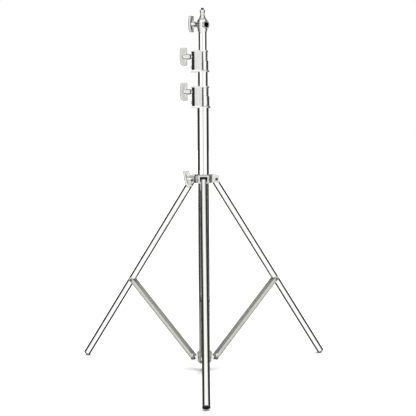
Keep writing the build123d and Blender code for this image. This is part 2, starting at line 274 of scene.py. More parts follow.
# %% Effect 3: skin of a casting or a moulding
skin, skin_in, skin_out = node_group(
    "cast skin", {"Grains per metre": 900.0, "Strength": 1.0}, {"Height": NUMBER, "Mask": NUMBER}
)
here = add(skin, "ShaderNodeTexCoord").outputs["Object"]
grains = skin_in.outputs["Grains per metre"]
fine = add(skin, "ShaderNodeTexNoise", [("Vector", here), ("Scale", grains), ("Detail", 2.0)])
waves = add(skin, "ShaderNodeTexNoise", [("Vector", here), ("Scale", 130.0), ("Detail", 2.0)])
both = math_node(skin, "ADD", fine.outputs["Fac"], math_node(skin, "MULTIPLY", waves.outputs["Fac"], 2.0))
skin.links.new(math_node(skin, "MULTIPLY", both, skin_in.outputs["Strength"]), skin_out.inputs["Height"])
skin.links.new(waves.outputs["Fac"], skin_out.inputs["Mask"])

# %% Effect 4: worn edges
wear, wear_in, wear_out = node_group("worn edges", {"Amount": 1.0}, {"Mask": NUMBER})
bend = add(wear, "ShaderNodeNewGeometry").outputs["Pointiness"]
edge = add(wear, "ShaderNodeMapRange", [("Value", bend), ("From Min", 0.52), ("From Max", 0.62)])
here = add(wear, "ShaderNodeTexCoord").outputs["Object"]
broken = add(wear, "ShaderNodeTexNoise", [("Vector", here), ("Scale", 260.0), ("Detail", 3.0)])
partly = math_node(wear, "MULTIPLY", edge.outputs[0], broken.outputs["Fac"])
wear.links.new(math_node(wear, "MULTIPLY", partly, wear_in.outputs["Amount"]), wear_out.inputs["Mask"])
print("effects", [g.name for g in bpy.data.node_groups])

# %% [markdown]
# ## Finishes
#
# The finishes differ mostly in roughness and in what marks them, so each is one Principled shader fed by the
# effects above. Plain numbers, such as how metallic a metal is, are set on the shader's own sockets.

# %% Material tools
# The Mix node's colour sockets come after those for numbers and vectors.
MIX_A, MIX_B, MIX_RESULT = 6, 7, 2
# How deep each metal's relief is, in metres
TUBE_RELIEF = 0.000004
CAST_RELIEF = 0.00001
SHEET_RELIEF = 0.00001
STEEL_RELIEF = 0.000006


def new_finish(name, metallic, roughness):
    """A material with one Principled shader, its node tree and that shader."""
    material = bpy.data.materials.new(name)
    material.use_nodes = True
    tree = material.node_tree
    shader = tree.nodes["Principled BSDF"]
    shader.inputs["Metallic"].default_value = metallic
    shader.inputs["Roughness"].default_value = roughness
    return material, tree, shader


def use(tree, effect, **values):
    """Places an effect in a material with its own values."""
    node = tree.nodes.new("ShaderNodeGroup")
    node.node_tree = effect
    for label, value in values.items():
        node.inputs[label.replace("_", " ")].default_value = value
    return node


def blend_colours(tree, mask, a, b):
    """Colour a where the mask is 0, colour b where it is 1."""
    mix = add(tree, "ShaderNodeMix", data_type="RGBA")
    tree.links.new(mask, mix.inputs["Factor"])
    for socket, colour in ((MIX_A, a), (MIX_B, b)):
        if hasattr(colour, "links"):
            tree.links.new(colour, mix.inputs[socket])
        else:
            mix.inputs[socket].default_value = (*colour, 1)
    return mix.outputs[MIX_RESULT]


def bumped(tree, shader, height, distance):
    """Feeds a height, in metres when multiplied by distance, to the shader's normal."""
    bump = add(tree, "ShaderNodeBump", [("Height", height), ("Distance", distance)])
    tree.links.new(bump.outputs[0], shader.inputs["Normal"])


# %% Polished tube
def polished(name, tint, dull, low, high):
    """Bright plated tube: near-white steel, lines along its length, and hazy patches."""
    material, tree, shader = new_finish(name, 1.0, low)
    marks = use(tree, lines)
    cloud = use(tree, haze, Low=low, High=high)
    tree.links.new(blend_colours(tree, cloud.outputs["Mask"], tint, dull), shader.inputs["Base Color"])
    tree.links.new(cloud.outputs["Roughness"], shader.inputs["Roughness"])
    bumped(tree, shader, marks.outputs["Height"], TUBE_RELIEF)
    return material


polished_tube = polished("polished_tube", (0.95, 0.95, 0.94), (0.88, 0.88, 0.87), 0.02, 0.08)


# %% Plated castings
def casting(name, tint, dull, low, high, grain):
    """A satin plated die casting: orange-peel skin, brighter where its edges are worn."""
    material, tree, shader = new_finish(name, 1.0, low)
    surface = use(tree, skin, Grains_per_metre=grain)
    cloud = use(tree, haze, Patches_per_metre=45.0, Low=low, High=high)
    worn = use(tree, wear)
    metal = blend_colours(tree, surface.outputs["Mask"], tint, dull)
    bright = blend_colours(tree, worn.outputs["Mask"], metal, (0.97, 0.97, 0.96))
    tree.links.new(bright, shader.inputs["Base Color"])
    tree.links.new(cloud.outputs["Roughness"], shader.inputs["Roughness"])
    bumped(tree, shader, surface.outputs["Height"], CAST_RELIEF)
    return material


cast_metal = casting("cast_metal", (0.95, 0.95, 0.94), (0.87, 0.87, 0.85), 0.24, 0.36, 900.0)
satin_metal = casting("satin_metal", (0.84, 0.84, 0.82), (0.74, 0.74, 0.72), 0.36, 0.48, 800.0)
knob_metal = casting("knob_metal", (0.80, 0.80, 0.79), (0.74, 0.74, 0.73), 0.18, 0.28, 450.0)


# %% Galvanised channel
def galvanised(name):
    """Zinc-coated sheet: pale crystals a few millimetres across, and rolling lines along the strip."""
    material, tree, shader = new_finish(name, 0.8, 0.35)
    here = add(tree, "ShaderNodeTexCoord").outputs["Object"]
    crystals = add(tree, "ShaderNodeTexVoronoi", [("Vector", here), ("Scale", 210.0)])
    grey = add(tree, "ShaderNodeSeparateColor", [(0, crystals.outputs["Color"])]).outputs[0]
    rolled = use(tree, lines, Lines_per_metre=1500.0, Length_of_a_line=0.12)
    cloud = use(tree, haze, Patches_per_metre=30.0, Low=0.34, High=0.5)
    zinc = blend_colours(tree, grey, (0.58, 0.58, 0.54), (0.68, 0.68, 0.64))
    tree.links.new(
        blend_colours(tree, rolled.outputs["Mask"], zinc, (0.52, 0.52, 0.485)), shader.inputs["Base Color"]
    )
    tree.links.new(cloud.outputs["Roughness"], shader.inputs["Roughness"])
    bumped(tree, shader, rolled.outputs["Height"], SHEET_RELIEF)
    return material


galvanised_channel = galvanised("galvanised_channel")


# %% Turned steel and fasteners
def small_steel(name, tint, dull, low, high, grain):
    """Turned or plated small parts: fine grain and patchy gloss."""
    material, tree, shader = new_finish(name, 1.0, low)
    surface = use(tree, skin, Grains_per_metre=grain, Strength=0.6)
    cloud = use(tree, haze, Patches_per_metre=120.0, Low=low, High=high)
    tree.links.new(blend_colours(tree, surface.outputs["Mask"], tint, dull), shader.inputs["Base Color"])
    tree.links.new(cloud.outputs["Roughness"], shader.inputs["Roughness"])
    bumped(tree, shader, surface.outputs["Height"], STEEL_RELIEF)
    return material


turned_steel = small_steel("turned_steel", (0.84, 0.84, 0.83), (0.70, 0.70, 0.69), 0.14, 0.26, 1800.0)
fasteners = small_steel("fasteners", (0.62, 0.62, 0.61), (0.46, 0.46, 0.45), 0.25, 0.42, 2200.0)
cut_edge = small_steel("cut_edge", (0.22, 0.22, 0.20), (0.12, 0.12, 0.11), 0.45, 0.6, 1500.0)
# A near-black finish that paints shade into recesses: the collar's nose and grooves, the faces inside the
# forks and the head's bore.
painted_recess_shade = small_steel("painted_recess_shade", (0.13, 0.13, 0.12), (0.06, 0.06, 0.06), 0.45, 0.6, 900.0)


# %% Rubber and nylon
def moulded(name, tint, dusty, low, high, grain, depth):
    """Moulded rubber or nylon: a fine matt grain, with dust caught in it."""
    material, tree, shader = new_finish(name, 0.0, high)
    surface = use(tree, skin, Grains_per_metre=grain)
    cloud = use(tree, haze, Patches_per_metre=70.0, Low=low, High=high)
    tree.links.new(blend_colours(tree, cloud.outputs["Mask"], tint, dusty), shader.inputs["Base Color"])
    tree.links.new(cloud.outputs["Roughness"], shader.inputs["Roughness"])
    bumped(tree, shader, surface.outputs["Height"], depth)
    return material


RUBBER_GRAIN = {"grain": 1500.0, "depth": 0.00003}
NYLON_GRAIN = {"grain": 2500.0, "depth": 0.00001}
black_rubber = moulded(
    "black_rubber", (0.004, 0.004, 0.004), (0.014, 0.014, 0.013), 0.5, 0.75, **RUBBER_GRAIN
)
black_nylon = moulded("black_nylon", (0.008, 0.008, 0.009), (0.02, 0.02, 0.021), 0.38, 0.55, **NYLON_GRAIN)
white_nylon = moulded("white_nylon", (0.80, 0.80, 0.76), (0.70, 0.69, 0.65), 0.35, 0.5, **NYLON_GRAIN)

# %% [markdown]
# ## Finishes on the small CAD pieces
#
# Screws, pins, plugs and the pieces inside the tubes are small and plain, so they keep their CAD shape. They
# could be given a finish one by one. A table of words does it for all of them, by the names of the nodes.

# %% Dress the CAD nodes
FINISH_OF = {
    "tube": polished_tube,
    "collar": cast_metal,
    "spider": satin_metal,
    "lower_bracket": cast_metal,
    "head": cast_metal,
    "knob": knob_metal,
    "brace": galvanised_channel,
    "stud": turned_steel,
    "screw": fasteners,
    "screws": fasteners,
    "pins": cut_edge,
    "stud_pin": fasteners,
    "retaining_ring": fasteners,
    "liner": white_nylon,
    "shoe": white_nylon,
    "guide_bush": black_nylon,
    "plug": black_nylon,
    "buffer": black_rubber,
    "rubber_foot": black_rubber,
}


def finish_for(node):
    """The finish whose word comes last in the node's name, the longest word where two end together."""
    ends = {word: node.rfind(word) + len(word) for word in FINISH_OF if word in node}
    return FINISH_OF[max(ends, key=lambda word: (ends[word], len(word)))]


for node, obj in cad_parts.items():
    obj.data.materials.clear()
    obj.data.materials.append(finish_for(node))
print("finishes", {node: finish_for(node).name for node in sorted(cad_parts)})

# %% [markdown]
# ## The column
#
# Three steel tubes slide in each other. Each could be a cylinder with a hole cut in it. A closed loop of
# profile turned about Z is used instead: its rims are rounded, and its inside shows when a riser is up.

# %% Column tubes
TUBE_WALL = 1.5
BASE_RADIUS = 17.5
RISER_1_RADIUS = 15.0
RISER_2_RADIUS = 12.5
TUBES = {
    "base_tube": (BASE_RADIUS, "column"),
    "riser_1_tube": (RISER_1_RADIUS, "riser_1"),
    "riser_2_tube": (RISER_2_RADIUS, "riser_2"),
}
for node, (radius, body) in TUBES.items():
    bottom, top = height_of(node)
    tube = piece(
        node + "_polished",
        [pipe(radius, radius - TUBE_WALL, bottom, top)],
        polished_tube,
        body,
        (node,),
    )
    finish_edges(tube)

# %% [markdown]
# ## The legs
#
# Each leg is a plain tube leaned out from its pivot in the sliding collar, with a rubber tip pushed in its
# end. It could be drawn where it stands. It is drawn upright about its pivot, where its profile is simple,
# and then leaned and turned to its place.

# %% Leg places
LEG_AZIMUTHS = (-90.0, 30.0, 150.0)
LEG_ANGLE = 35.1
LEG_RADIUS = 11.0
LEG_WALL = 1.2
LEG_REACH = 725.0
FOOT_RADIUS = 11.5
FOOT_THICKNESS = 4.0
PIVOT_RADIUS = 38.0
lean = math.radians(LEG_ANGLE)
PIVOT_HEIGHT = LEG_REACH * math.cos(lean) + FOOT_RADIUS * math.sin(lean)


def leg_place(azimuth):
    """Upright at the origin, then leaned, then out to the pivot, then turned round the column."""
    out = Matrix.Translation((PIVOT_RADIUS, 0, PIVOT_HEIGHT))
    return about_z(azimuth) @ out @ Matrix.Rotation(math.radians(-LEG_ANGLE), 4, "Y")


# %% Leg tubes
LEG_TOP = -5.0
leg_inside = LEG_RADIUS - LEG_WALL
foot_line = FOOT_THICKNESS - LEG_REACH
leg_loop = [(LEG_RADIUS, foot_line), (LEG_RADIUS, LEG_TOP), (leg_inside, LEG_TOP), (leg_inside, foot_line)]
leg_profile = soften(np.array(leg_loop), 0.3)
for number, azimuth in enumerate(LEG_AZIMUTHS, start=1):
    tube = piece(
        f"leg_{number}_polished",
        [shell(placed(lathe(leg_profile), leg_place(azimuth)), along=True)],
        polished_tube,
        f"leg_{number}",
        (f"leg_{number}_tube",),
    )
    finish_edges(tube)

# %% Rubber tips
PLUG_TOP = 26 - LEG_REACH
PLUG_RADIUS = LEG_RADIUS - LEG_WALL - 0.1
tip_profile = [
    (0, PLUG_TOP),
    (PLUG_RADIUS, PLUG_TOP),
    (PLUG_RADIUS, foot_line),
    (FOOT_RADIUS - 0.3, foot_line),
    (FOOT_RADIUS, 1 - LEG_REACH),
    (FOOT_RADIUS - 0.2, -LEG_REACH),
    (FOOT_RADIUS - 3.0, 0.4 - LEG_REACH),
    (0, 0.6 - LEG_REACH),
]
for number, azimuth in enumerate(LEG_AZIMUTHS, start=1):
    tip = piece(
        f"leg_{number}_rubber_tip",
        [shell(placed(spun(tip_profile, 0.4), leg_place(azimuth)))],
        black_rubber,
        f"leg_{number}",
        (f"leg_{number}_rubber_foot",),
    )
    finish_edges(tip)

# %% [markdown]
# ## The braces
#
# A brace is a strip of zinc-coated sheet folded to a channel. Its web is cut back at both ends, so that the
# two flanges straddle the leg above and the bracket below, and rolled beads stiffen the flanges and the web.
# It could be a cut and bevelled block. The real one is bent from one sheet, so the sheet's middle surface is
# worked out first, and Solidify gives it its thickness.

# %% Brace places
BRACE_LENGTH = 326.0
BRACE_ON_LEG = 404.0
BRACE_INSET = 4.5
BRACE_WALL = 1.25
WEB_OUTSIDE = 8.2
FREE_EDGE = -4.8
HALF_WIDTH = 12.5
outer_pivot_r = PIVOT_RADIUS + BRACE_ON_LEG * math.sin(lean) - BRACE_INSET * math.cos(lean)
outer_pivot_z = PIVOT_HEIGHT - BRACE_ON_LEG * math.cos(lean) - BRACE_INSET * math.sin(lean)
brace_rise = math.sqrt(BRACE_LENGTH**2 - (outer_pivot_r - PIVOT_RADIUS) ** 2)
brace_angle = math.atan2(outer_pivot_r - PIVOT_RADIUS, brace_rise)
print("brace pivot", round(outer_pivot_r, 2), round(outer_pivot_z, 2))
print("brace angle", round(math.degrees(brace_angle), 2))


def brace_place(azimuth):
    """Along +X from the lower pivot with the web up, then raised, then out to the pivot, then turned."""
    out = Matrix.Translation((PIVOT_RADIUS, 0, outer_pivot_z - brace_rise))
    return about_z(azimuth) @ out @ Matrix.Rotation(brace_angle - math.pi / 2, 4, "Y")


# %% The folded sheet
FOLD_RADIUS = 2.2
EAR_RADIUS = 8.2
EAR_HALF = 8.0
WEB_START = 14.0
WEB_STOP = BRACE_LENGTH - 8.6
FLANGE_STOP = BRACE_LENGTH + 14.5
FLANGE_SLANT = math.tan(math.radians(10.4))
BEAD_FROM_END = 6.0
BEAD_FADE = 8.0


def hump(distance, width):
    """A smooth bump, 1 at distance 0: exp(-(distance / width)^2)."""
    return np.exp(-((distance / width) ** 2))


def channel_sheet(rows=48, columns=97):
    """The middle surface of the channel, as position along the strip times position across it.

    Across, the line runs up one flange, round a small bend, over the web, and down the other flange; beads
    move it out along its normal. Along, each line of the strip runs from its own start to its own end: on
    the flanges from an arc round the lower pivot to a slanted cut, on the web between two straight cuts.
    """
    side, top = HALF_WIDTH - BRACE_WALL / 2, WEB_OUTSIDE - BRACE_WALL / 2
    fold = np.array([(side, FREE_EDGE), (side, top), (-side, top), (-side, FREE_EDGE)])
    line = soften(fold, FOLD_RADIUS, closed=False, steps=10)
    run = np.concatenate([[0], np.cumsum(np.linalg.norm(np.diff(line, axis=0), axis=1))])
    s = np.linspace(0, run[-1], columns)
    y, z = np.interp(s, run, line[:, 0]), np.interp(s, run, line[:, 1])
    slope = np.stack([np.gradient(y), np.gradient(z)])
    slope /= np.linalg.norm(slope, axis=0)
    middle = run[-1] / 2
    reach = np.abs(s - middle)
    flange_beads, web_beads = 1.1 * hump(reach - middle + 5.6, 1.5), 0.9 * hump(reach - 5.2, 1.6)
    ear = np.clip(z, -EAR_HALF, EAR_HALF)
    on_web = np.clip((side + 0.3 - np.abs(y)) / 1.6, 0, 1)
    first = (1 - on_web) * -np.sqrt(EAR_RADIUS**2 - ear**2) + on_web * WEB_START
    last = (1 - on_web) * (FLANGE_STOP + z * FLANGE_SLANT) + on_web * WEB_STOP
    t = np.linspace(0, 1, rows)[:, None]
    x = first + t * (last - first)
    fade_in = np.clip((x - first - BEAD_FROM_END) / BEAD_FADE, 0, 1)
    fade_out = np.clip((last - x - BEAD_FROM_END) / BEAD_FADE, 0, 1)
    bead = (flange_beads - web_beads) * fade_in * fade_out
    return np.stack([x, y + slope[1] * bead, z - slope[0] * bead], axis=2)


# %% Braces
for number, azimuth in enumerate(LEG_AZIMUTHS, start=1):
    brace = piece(
        f"brace_{number}_channel",
        [shell(placed(channel_sheet(), brace_place(azimuth)), around=False)],
        (galvanised_channel, cut_edge),
        f"brace_{number}",
        (f"brace_{number}",),
    )
    thickness = brace.modifiers.new("sheet thickness", "SOLIDIFY")
    thickness.thickness = BRACE_WALL * MM
    thickness.offset = 0
    thickness.material_offset_rim = 1
    finish_edges(brace)

# %% [markdown]
# ## The clamping collars
#
# A collar is a casting with a stepped sleeve, a clamp block that narrows towards the knob, and a flange at
# each end. It could be joined from cylinders and blocks with booleans. Seen from above, each of its levels is
# one outline round the column, so a stack of outlines gives it in one clean surface: the distance from the
# axis is a function of the direction and of the level.

# %% Outlines from above
def ray_to_block(angle, reach, half):
    """Distance from the axis to the sides of a block, and 0 behind the axis.

    The block is |y| < half and x < reach, so it is the smaller of reach / cos a and half / |sin a|.
    """
    along, aside = np.cos(angle), np.abs(np.sin(angle))
    hit = np.minimum(reach / np.maximum(along, 1e-9), half / np.maximum(aside, 1e-9))
    return np.where(along > 1e-9, hit, 0.0)


def ray_to_nose(angle, near, half, far, tip):
    """Distance from the axis to a nose that narrows from (near, half) to (far, tip), 0 behind the axis.

    It is the smallest of far / cos a, half / |sin a| and the distance to the slanted side, which is the line
    y = half - slope (x - near).
    """
    along, aside = np.cos(angle), np.abs(np.sin(angle))
    slope = (half - tip) / (far - near)
    slanted = (half + slope * near) / np.maximum(aside + slope * along, 1e-9)
    hit = np.minimum(np.minimum(far / np.maximum(along, 1e-9), half / np.maximum(aside, 1e-9)), slanted)
    return np.where(along > 1e-9, hit, 0.0)


def ray_angles(blocks, extra):
    """Even directions, plus a close pair at each corner of each block and at each extra direction."""
    corners = np.array([math.atan2(half, reach) for reach, half in blocks] + list(extra))
    corners = np.concatenate([corners, -corners])
    even = np.linspace(-np.pi, np.pi, 180, endpoint=False)
    return np.unique(np.concatenate([even, corners - 0.002, corners + 0.002]))


# The clamp block along X: where its nose starts, ends and how wide it ends, then the reach of the flanges
NOSE_ROOT, NOSE_END, NOSE_TIP = 25.0, 34.0, 4.4
CAP_REACH, SKIRT_REACH = 36.0, 37.0
GROOVE = (-1.5, 1.8)
SKIRT_RIM = 2.5
SKIRT_HEIGHT = 6.0
CAP_HEIGHT = 4.0


def collar_body(tube_r, inner_r, top_flange, bottom_flange, heights):
    """The casting: rows of (distance, height) for every direction, corners softened, closed inside the bore.

    The nose and the two grooves between the flanges are marked for the second finish, painted shade.
    """
    low, step, high = heights
    front = tube_r + 2.5
    nose = (NOSE_ROOT, front, NOSE_END, NOSE_TIP)
    blocks = [(NOSE_ROOT, front), (NOSE_END, NOSE_TIP), (CAP_REACH, front - 1), (SKIRT_REACH, front + 1)]
    extra = [math.atan2(front, x) for x in GROOVE]
    angle = ray_angles(blocks, extra)

    def outline(radius, reach=None):
        side = ray_to_nose(angle, *nose) if reach is None else ray_to_block(angle, *reach)
        return np.maximum(np.full_like(angle, radius), side)

    def grooved(distance):
        x = distance * np.cos(angle)
        inside = (x > GROOVE[0]) & (x < GROOVE[1])
        return np.where(inside, (front - 1.6) / np.maximum(np.abs(np.sin(angle)), 0.1), distance)

    lower = grooved(outline(tube_r + 2.2))
    upper = grooved(outline(inner_r + 2.4))
    skirt = outline(bottom_flange, (SKIRT_REACH, front + 1))
    cap = outline(top_flange, (CAP_REACH, front - 1))
    bore, bush = np.full_like(angle, tube_r + 0.05), np.full_like(angle, inner_r + 1.2)
    levels = [
        (bore, low),
        (skirt, low),
        (skirt, low + SKIRT_RIM),
        (np.maximum(skirt - 3, lower), low + SKIRT_HEIGHT),
        (lower, low + SKIRT_HEIGHT + 0.01),
        (lower, step),
        (upper, step + 0.6),
        (upper, high - CAP_HEIGHT),
        (cap, high - CAP_HEIGHT),
        (cap, high),
        (bush, high),
        (bush, step - 2),
        (bore, step - 2),
    ]
    corners = np.stack([np.stack([r, np.full_like(r, z)], axis=1) for r, z in levels])
    rows = soften(corners, 0.45, steps=3)
    grid = np.stack([rows[..., 0] * np.cos(angle), rows[..., 0] * np.sin(angle), rows[..., 1]], axis=2)
    middle = (grid + np.roll(grid, -1, 0) + np.roll(grid, -1, 1) + np.roll(grid, (-1, -1), (0, 1))) / 4
    x, y, z = middle[..., 0], np.abs(middle[..., 1]), middle[..., 2]
    between = (z > low + SKIRT_HEIGHT - 0.5) & (z < high - CAP_HEIGHT + 0.5)
    in_groove = (x > GROOVE[0] - 0.9) & (x < GROOVE[1] + 0.9) & (y > front - 2.2) & (y < front + 1)
    on_nose = (x > NOSE_ROOT + 0.2) & (x < NOSE_END + 0.2)
    return grid, between & (on_nose | in_groove)


def boss(radius, start, end, bore, depth):
    """A short turned boss along X with a bore in its end."""
    profile = [(0, start), (radius, start), (radius, end), (bore, end), (bore, end - depth), (0, end - depth)]
    return placed(spun(profile, 0.35), ALONG_X)


# %% Collars
KNOB_1_Z = 870.0
KNOB_2_Z = 977.0
# Radii of the tube, of the tube inside it, of the cap and of the skirt, then the heights of the foot, the
# step and the top, those of the knob and the screw, and the body that the collar rides on
COLLARS = {
    "collar_1": (BASE_RADIUS, RISER_1_RADIUS, 19.8, 23.3, (820.0, 856.0, 886.0), KNOB_1_Z, 837.0, "column"),
    "collar_2": (
        RISER_1_RADIUS, RISER_2_RADIUS, 16.8, 20.4, (930.0, 964.0, 995.0), KNOB_2_Z, 945.0, "riser_1"
    ),
}
# Radius, end, bore and the bore's depth of the two bosses
BOSS_START = 30.0
KNOB_BOSS = (6.5, 35.5, 4.0, 4.0)
SCREW_BOSS = (4.6, 35.0, 3.4, 1.9)
KNOB_SIDE = about_z(180)
for node, (tube_r, inner_r, cap_r, skirt_r, heights, knob_z, screw_z, body) in COLLARS.items():
    grid, nose = collar_body(tube_r, inner_r, cap_r, skirt_r, heights)
    shells = [shell(placed(grid, KNOB_SIDE), along=True, second=nose)]
    for (radius, end, bore, depth), z in ((KNOB_BOSS, knob_z), (SCREW_BOSS, screw_z)):
        grid = boss(radius, BOSS_START, end, bore, depth)
        shells.append(shell(placed(grid, KNOB_SIDE @ Matrix.Translation((0, 0, z)))))
    # The second finish paints shade on the nose and in the grooves.
    collar = piece(node + "_casting", shells, (cast_metal, painted_recess_shade), body, (node,))
    finish_edges(collar, 0.5)

# %% [markdown]
# ## The T-knobs
#
# Each knob is a small casting: a round hub with a paddle across its end, for finger and thumb. It could be a
# bevelled plate on a cylinder. A cast paddle has a fuller rim than a bevel gives, so it is a closed pillow:
# rings of its outline, drawn in at the rim by a quarter circle and then drawn together to one point in the
# middle of each face. The hub is a turned profile.

# %% Knob shapes
def evenly(outline, count):
    """The same closed outline with count points at even distances along it."""
    loop = np.concatenate([outline, outline[:1]])
    run = np.concatenate([[0], np.cumsum(np.linalg.norm(np.diff(loop, axis=0), axis=1))])
    s = np.linspace(0, run[-1], count, endpoint=False)
    return np.stack([np.interp(s, run, loop[:, 0]), np.interp(s, run, loop[:, 1])], axis=1)


def paddle(height, depth, reach=34.0, thick=4.0, rim=3.4, columns=120):
    """The paddle in the XZ plane, mirrored from its front face to its back face.

    In the rim, a ring at angle a is the outline moved in by rim (1 - sin a), at rim cos a beyond the edge. On
    the faces, a ring is the outline drawn towards the middle, with the face dished by half a millimetre.
    """
    half, inner = height / 2, reach - depth
    z = np.linspace(half, 6 - half, 24)
    edge = np.stack([reach - 2.5 * (z / half) ** 2, z], axis=1)
    rest = np.array([(reach - 5.2, 1.8 - half), (reach - 8.5, -half), (inner, -half), (inner, half)])
    outline = evenly(soften(np.concatenate([edge, rest]), 2.4), columns)
    slope = np.roll(outline, -1, axis=0) - np.roll(outline, 1, axis=0)
    normal = np.stack([-slope[:, 1], slope[:, 0]], axis=1) / np.linalg.norm(slope, axis=1, keepdims=True)
    middle = outline.mean(axis=0)
    if ((outline - middle) * normal).sum() < 0:
        normal = -normal
    a = np.linspace(0, np.pi / 2, 6)[:, None, None]
    quarter = outline - normal * rim * (1 - np.sin(a))
    draw = np.array([0.0, 0.3, 0.6, 0.85])[:, None, None]
    face = middle + (quarter[0] - middle) * draw
    flat = np.concatenate([face, quarter])
    dish = 0.5 * (1 - draw**2)
    out = np.concatenate([thick - dish, thick - rim + rim * np.cos(a)])[..., 0] * np.ones(columns)
    thinner = 1 - 0.14 * (flat[..., 0] - inner) / depth
    front = np.stack([flat[..., 0], out * thinner, flat[..., 1]], axis=2)
    return np.concatenate([front, front[::-1] * (1, -1, 1)])


HUB = [(0, 0), (5.5, 0), (8.4, 3), (8.4, 17), (7.0, 24), (4.0, 27.5), (0, 27.5)]
BLACK_BAND = 2.6
HEAD_KNOB_AZIMUTH = -140.0
SOCKET_Z = 1073.0
# Azimuth, height, tilt about its own axis, where the hub starts, then the height and the depth of the paddle
KNOBS = {
    "knob_1": (180.0, KNOB_1_Z, 0.0, 36.0, 54.0, 22.0),
    "knob_2": (180.0, KNOB_2_Z, 0.0, 36.0, 54.0, 22.0),
    "spider_knob": (-150.0, 602.5, 22.0, 34.0, 54.0, 22.0),
    "head_knob": (HEAD_KNOB_AZIMUTH, SOCKET_Z, 0.0, 21.0, 49.0, 19.0),
}
for node, (azimuth, z, tilt, start, height, depth) in KNOBS.items():
    turn = about_z(azimuth) @ Matrix.Translation((0, 0, z)) @ Matrix.Rotation(math.radians(tilt), 4, "X")
    place = turn @ Matrix.Translation((start, 0, 0))
    hub = spun(HUB, 1.6)
    # The hub's first 2.6 mm, at its joint with the boss, takes the black finish: a black ring there.
    black_band = hub[..., 2] < BLACK_BAND
    blade = paddle(height, depth)
    shells = [shell(placed(hub, place @ ALONG_X), second=black_band), shell(placed(blade, place))]
    knob = piece(node + "_handle", shells, (knob_metal, black_nylon), node, (node,))
    finish_edges(knob)

# %% [markdown]
# ## The head and its stud
#
# The head is a round casting with a cross hole for a lamp's spigot. Round castings that cross at an angle
# have no simple grid, so the head is turned, and its socket is joined and bored with booleans. The stud is
# turned: a flared foot, a waist, a land and a threaded tip. The thread could be a swept helix. One surface
# whose radius follows a zigzag of height less turn is lighter and closes by itself.

# %% Stud
head_top = height_of("head")[1]
stud_top = height_of("stud")[1]
STUD = [
    (0, head_top - 4),
    (4.0, head_top - 4),
    (4.0, head_top + 0.05),
    (15.3, head_top + 0.05),
    (15.3, head_top + 1.2),
    (11.8, head_top + 4),
    (9.6, head_top + 8),
    (8.0, head_top + 13),
    (6.6, head_top + 15.5),
    (6.6, head_top + 24),
    (8.0, head_top + 25.5),
    (8.0, head_top + 31.5),
    (4.2, head_top + 31.5),
    (0, head_top + 31.5),
]


def thread(radius, low, high, pitch=1.5875, depth=0.75, rows=90, columns=64):
    """Radius less a zigzag, closed to the axis on top.

    r = radius - depth c, where c is 1.3 |2 frac(z / pitch - a / 2 pi) - 1| - 0.15 kept between 0 and 1, so
    that crests and roots are a little flat. The last turn is chamfered: r stays under
    radius - 0.9 + 1.2 (high - z).
    """
    a = np.linspace(0, 2 * np.pi, columns, endpoint=False)
    z = np.linspace(low, high, rows)[:, None]
    zigzag = np.abs(2 * ((z / pitch - a / (2 * np.pi)) % 1) - 1)
    r = radius - depth * np.clip(1.3 * zigzag - 0.15, 0, 1)
    r = np.minimum(r, radius - 0.9 + 1.2 * (high - z))
    r = np.concatenate([r, np.zeros((1, columns))])
    z = np.concatenate([z, z[-1:]])
    return np.stack([r * np.cos(a), r * np.sin(a), np.broadcast_to(z, r.shape)], axis=2)


tip = thread(4.76, head_top + 31.3, stud_top)
shells = [shell(spun(STUD, 0.5)), shell(tip, second=np.ones(tip.shape[:2], bool))]
stud = piece("stud_turned", shells, (turned_steel, cut_edge), "riser_2", ("stud",), sharp=50)
finish_edges(stud)


# %% Head
def hollowed(obj, other, operation):
    """Joins another shape to a piece, or cuts it away, and keeps the result as the piece's own mesh."""
    step = obj.modifiers.new("cut", "BOOLEAN")
    step.operation = operation
    step.material_mode = "TRANSFER"
    step.object = other
    step.solver = "EXACT"
    graph = bpy.context.evaluated_depsgraph_get()
    made = bpy.data.meshes.new_from_object(obj.evaluated_get(graph))
    obj.modifiers.remove(step)
    old, obj.data = obj.data, made
    bpy.data.meshes.remove(old)


def tool_shape(points, radius, place, material):
    """A shape used for one cut or one join, and then thrown away."""
    return piece("tool", [shell(placed(spun(points, radius), place))], material, "riser_2")


SOCKET_AZIMUTH = -50.0
SOCKET_RADIUS, SOCKET_BORE, SOCKET_REACH = 12.3, 8.15, 18.5
BOSS_RADIUS, BOSS_REACH = 9.0, 19.5
HEAD = [
    (0, head_top - 34.8),
    (12.6, head_top - 34.8),
    (13.7, head_top - 34.9),
    (14.2, head_top - 33),
    (14.6, head_top - 28),
    (16.0, head_top - 21),
    (16.2, head_top - 7),
    (15.4, head_top),
    (0, head_top),
]
socket = about_z(SOCKET_AZIMUTH) @ Matrix.Translation((0, 0, SOCKET_Z)) @ ALONG_X
knob_boss = about_z(HEAD_KNOB_AZIMUTH) @ Matrix.Translation((0, 0, SOCKET_Z)) @ ALONG_X
head = piece("head_casting", [shell(spun(HEAD, 0.8))], cast_metal, "riser_2", ("head",))
steps = [
    ([(0, 0), (SOCKET_RADIUS, 0), (SOCKET_RADIUS, SOCKET_REACH), (0, SOCKET_REACH)], 0.9, socket, "UNION"),
    ([(0, 0), (BOSS_RADIUS, 0), (BOSS_RADIUS, BOSS_REACH), (0, BOSS_REACH)], 0.7, knob_boss, "UNION"),
    ([(0, -9), (SOCKET_BORE, -9), (SOCKET_BORE, 40), (0, 40)], 0.01, socket, "DIFFERENCE"),
]
for points, radius, place, operation in steps:
    # The cut's new faces take the near-black finish: painted shade in the socket's bore.
    tool = tool_shape(points, radius, place, painted_recess_shade if operation == "DIFFERENCE" else cast_metal)
    hollowed(head, tool, operation)
    bpy.data.objects.remove(tool)
head.data.shade_smooth()
head.data.set_sharp_from_angle(angle=math.radians(38))
finish_edges(head)
print("head faces", len(head.data.polygons))

